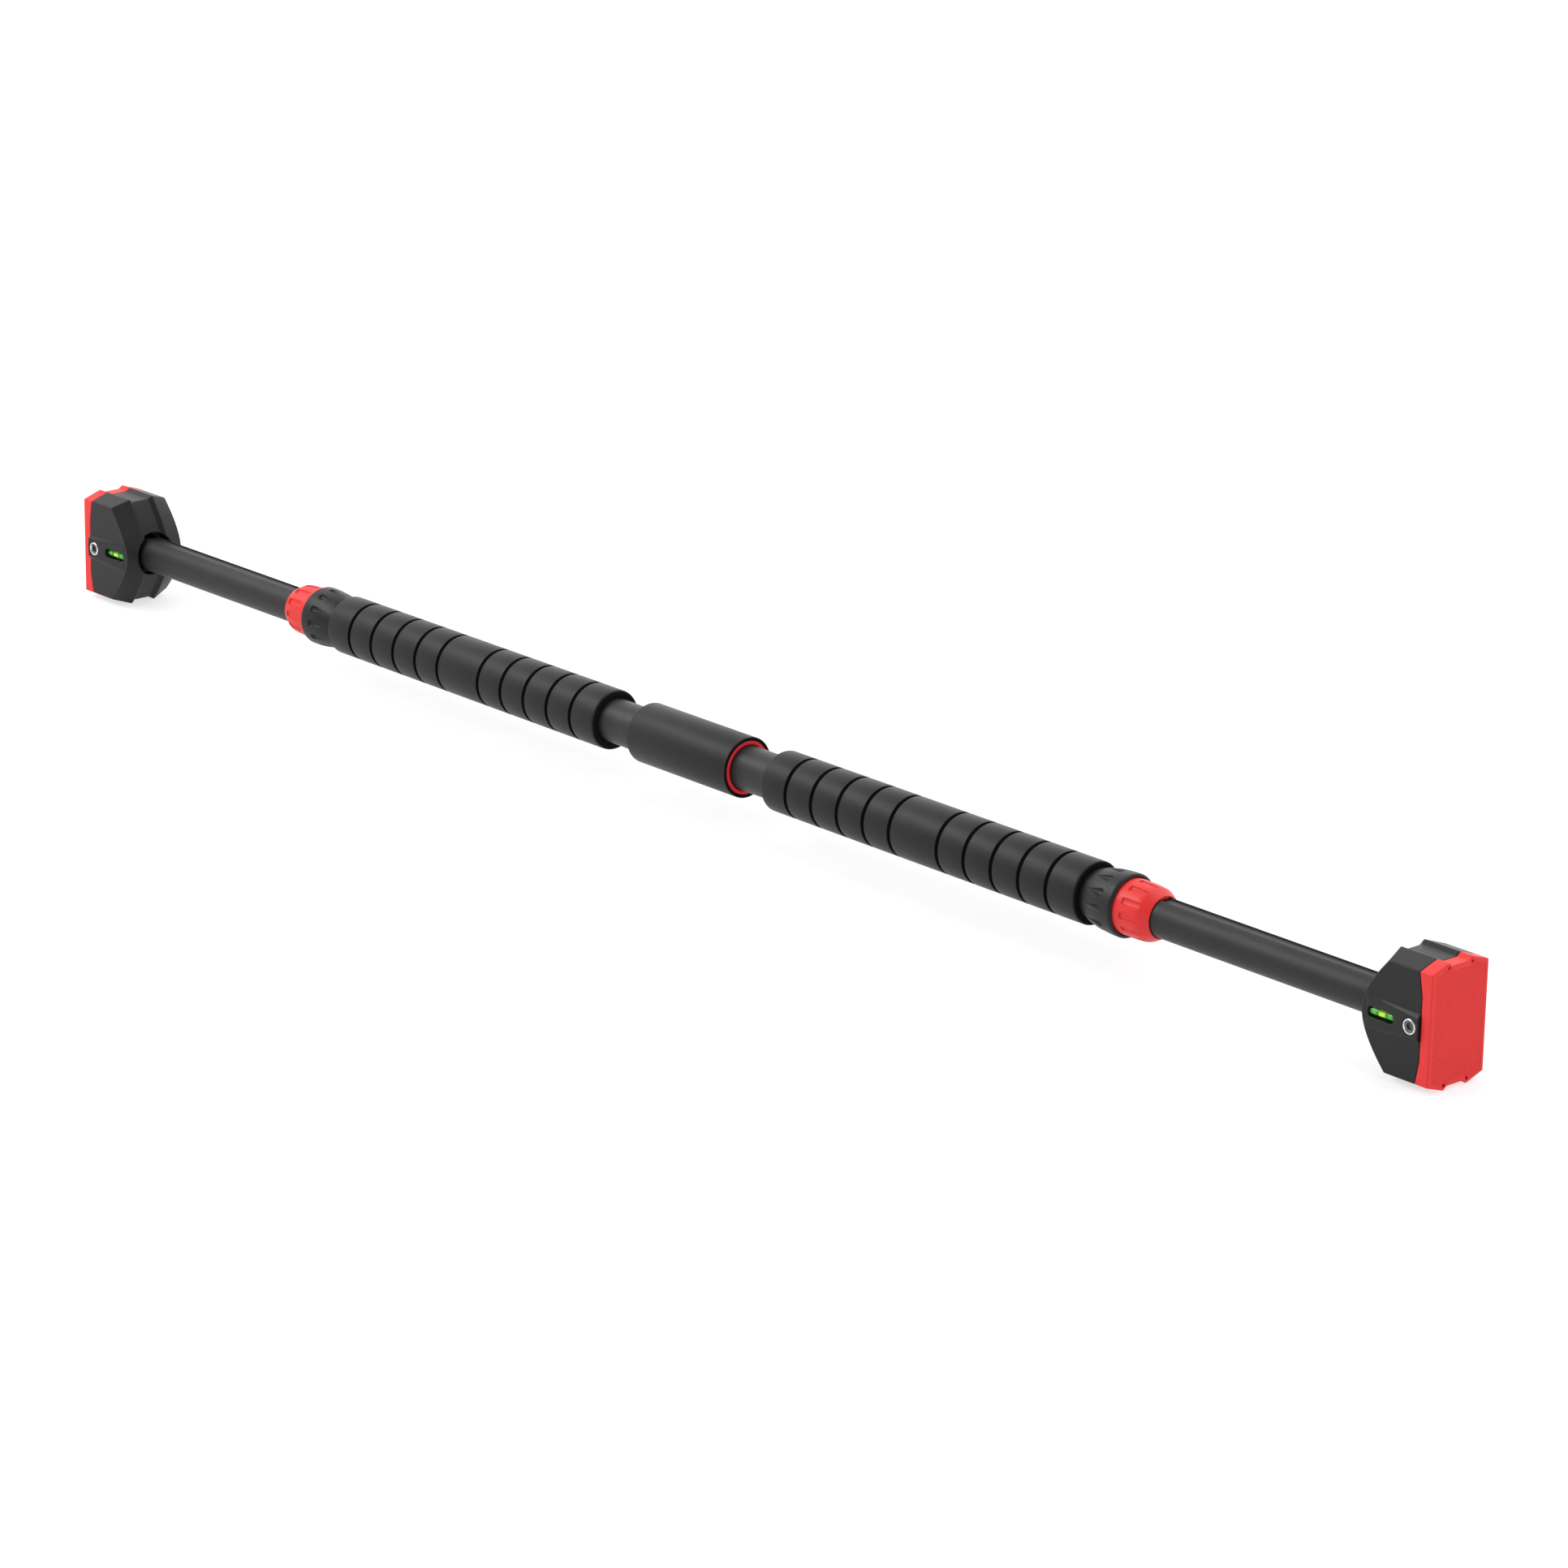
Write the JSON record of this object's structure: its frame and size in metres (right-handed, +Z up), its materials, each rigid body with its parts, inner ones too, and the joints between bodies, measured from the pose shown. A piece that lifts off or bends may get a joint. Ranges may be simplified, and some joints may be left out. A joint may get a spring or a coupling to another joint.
{
  "type": "telescoping doorway pull-up bar",
  "caption": "Telescoping pull-up bar that screws out to press two rubber pads against a door frame, with foam grips, locking rings and level vials.",
  "frame": {"origin": "middle of the bar, on the axis of its tubes, halfway between the outer faces of the two pads", "axes": "+X along the bar towards the right pad, +Y away from the vials, +Z up, with the keyways of the inner tubes on top"},
  "size_m": [1.4098, 0.0564, 0.0834],
  "materials": {
    "painted_tube": "dark grey powder coat with a fine speckle",
    "coated_tube": "black powder coat with a fine speckle",
    "grip_foam": "matte black closed-cell foam",
    "core_foam": "matte red closed-cell foam",
    "black_plastic": "black moulded plastic with a fine grain",
    "red_plastic": "red moulded plastic, satin",
    "red_rubber": "matte red rubber",
    "bright_steel": "bright plated steel",
    "dark_steel": "dark oiled steel",
    "white_plastic": "pale bearing plastic",
    "vial_clear": "clear acrylic",
    "vial_green": "yellow-green vial liquid"
  },
  "bodies": {
    "main": {"main_tube": "painted_tube", "sleeve_skin": "grip_foam", "sleeve_core": "core_foam", "grip_left": "grip_foam", "collar_left": "black_plastic", "spindle_left": "bright_steel", "spindle_anchor_left": "dark_steel", "spindle_stop_left": "dark_steel", "anchor_pin_left": "bright_steel", "collar_rivet_front_left": "dark_steel", "collar_rivet_back_left": "dark_steel", "grip_right": "grip_foam", "collar_right": "black_plastic", "spindle_right": "bright_steel", "spindle_anchor_right": "dark_steel", "spindle_stop_right": "dark_steel", "anchor_pin_right": "bright_steel", "collar_rivet_front_right": "dark_steel", "collar_rivet_back_right": "dark_steel"},
    "left_guide": {"guide_bush_left": "white_plastic"},
    "left_end": {"inner_tube_left": "coated_tube", "tube_plug_left": "black_plastic", "drive_nut_left": "bright_steel", "slide_shoe_left": "white_plastic", "head_housing_left": "black_plastic", "pad_left": "red_rubber", "thrust_plate_left": "dark_steel", "cross_bolt_left": "bright_steel", "barrel_nut_left": "bright_steel", "vial_glass_left": "vial_clear", "vial_cap_left": "vial_green", "vial_liquid_left": "vial_green", "pad_peg_top_front_left": "dark_steel", "pad_peg_top_back_left": "dark_steel", "pad_peg_bottom_front_left": "dark_steel", "pad_peg_bottom_back_left": "dark_steel"},
    "left_lock": {"lock_ring_left": "red_plastic"},
    "right_guide": {"guide_bush_right": "white_plastic"},
    "right_end": {"inner_tube_right": "coated_tube", "tube_plug_right": "black_plastic", "drive_nut_right": "bright_steel", "slide_shoe_right": "white_plastic", "head_housing_right": "black_plastic", "pad_right": "red_rubber", "thrust_plate_right": "dark_steel", "cross_bolt_right": "bright_steel", "barrel_nut_right": "bright_steel", "vial_glass_right": "vial_clear", "vial_cap_right": "vial_green", "vial_liquid_right": "vial_green", "pad_peg_top_front_right": "dark_steel", "pad_peg_top_back_right": "dark_steel", "pad_peg_bottom_front_right": "dark_steel", "pad_peg_bottom_back_right": "dark_steel"},
    "right_lock": {"lock_ring_right": "red_plastic"}
  },
  "joints": [
    {"name": "left_turn", "type": "hinge", "parent": "main", "child": "left_guide", "pos_m": [-0.4219, 0, 0], "axis": [-1, 0, 0], "range_deg": [-9360, 2880]},
    {"name": "left_extend", "type": "slide", "parent": "left_guide", "child": "left_end", "axis": [-1, 0, 0], "range_m": [-0.1562, 0.0482]},
    {"name": "left_lock_slide", "type": "slide", "parent": "left_guide", "child": "left_lock", "axis": [1, 0, 0], "range_m": [0, 0.005]},
    {"name": "right_turn", "type": "hinge", "parent": "main", "child": "right_guide", "pos_m": [0.4113, 0, 0], "axis": [-1, 0, 0], "range_deg": [-9360, 2880]},
    {"name": "right_extend", "type": "slide", "parent": "right_guide", "child": "right_end", "axis": [1, 0, 0], "range_m": [-0.1562, 0.0482]},
    {"name": "right_lock_slide", "type": "slide", "parent": "right_guide", "child": "right_lock", "axis": [-1, 0, 0], "range_m": [0, 0.005]}
  ],
  "couplings": [
    {"joint": "left_extend", "follows": "left_turn", "m_per_rad": 0.00095493},
    {"joint": "right_extend", "follows": "right_turn", "m_per_rad": 0.00095493}
  ]
}
